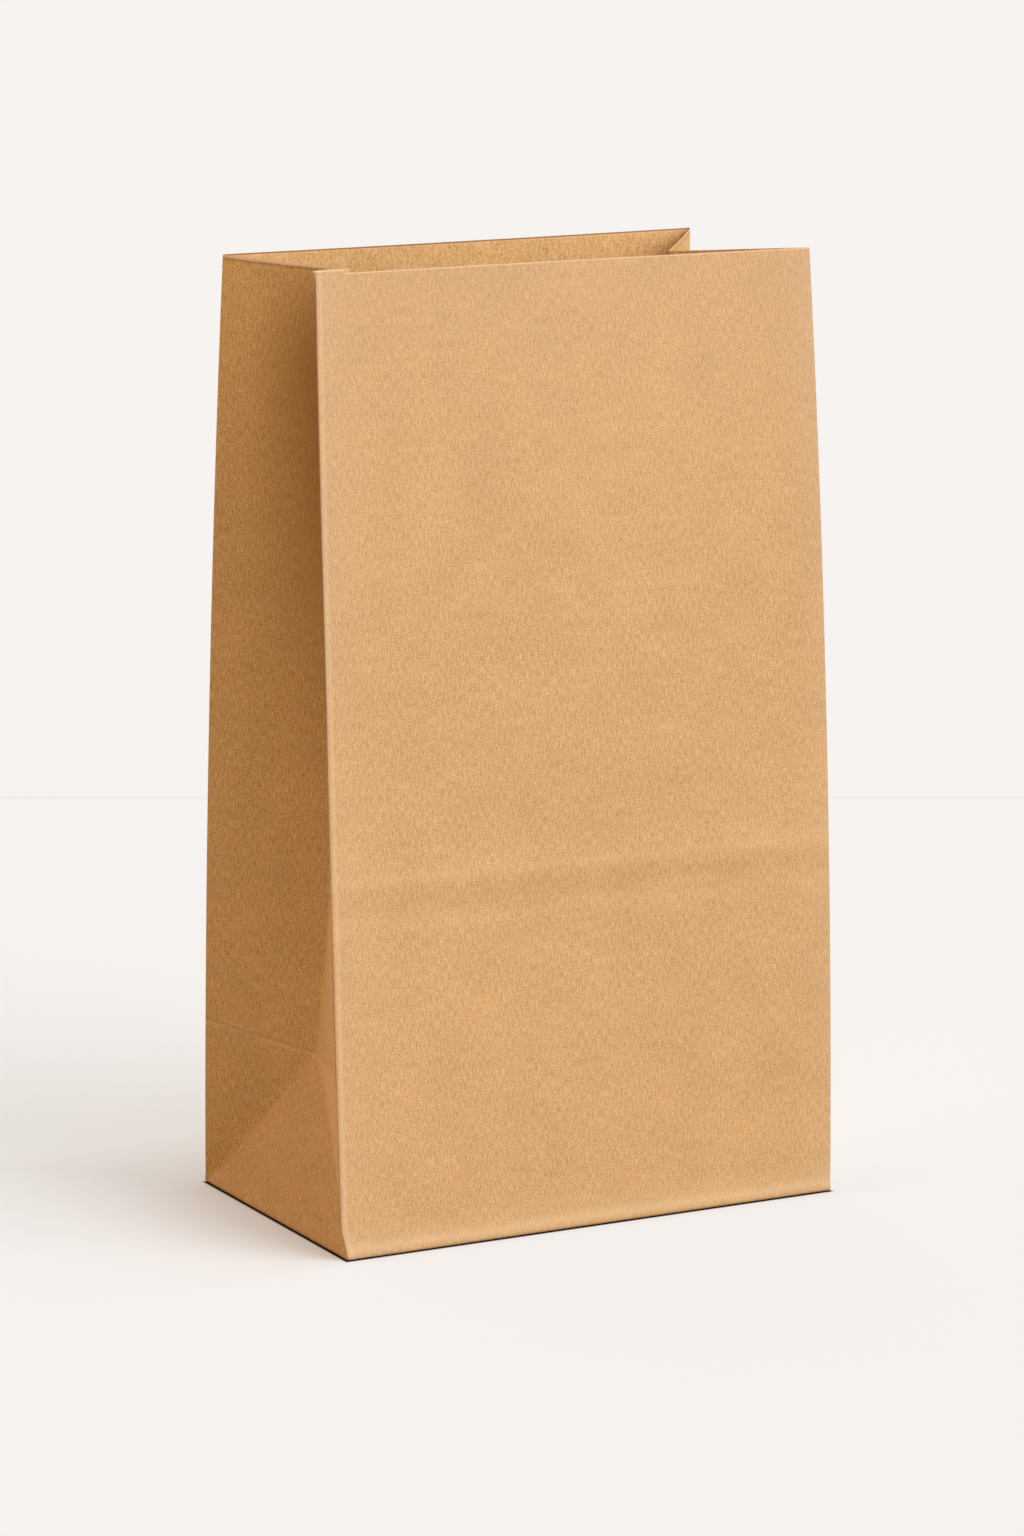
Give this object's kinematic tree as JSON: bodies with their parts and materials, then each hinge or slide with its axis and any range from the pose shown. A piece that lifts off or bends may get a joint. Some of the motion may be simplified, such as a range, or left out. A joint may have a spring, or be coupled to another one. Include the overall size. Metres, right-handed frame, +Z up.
{
  "type": "paper lunch bag",
  "caption": "Plain brown kraft paper lunch bag with a square folded bottom and gusseted sides, standing open.",
  "frame": {"origin": "centre of the bottom, on the surface that the bag stands on", "axes": "+X along the front panel to the right, -Y out of the front panel, +Z up towards the mouth"},
  "size_m": [0.152, 0.0921, 0.2648],
  "materials": {
    "kraft_paper": "uncoated brown kraft paper, matt"
  },
  "bodies": {
    "root": {"paper_bag": "kraft_paper"}
  },
  "joints": []
}
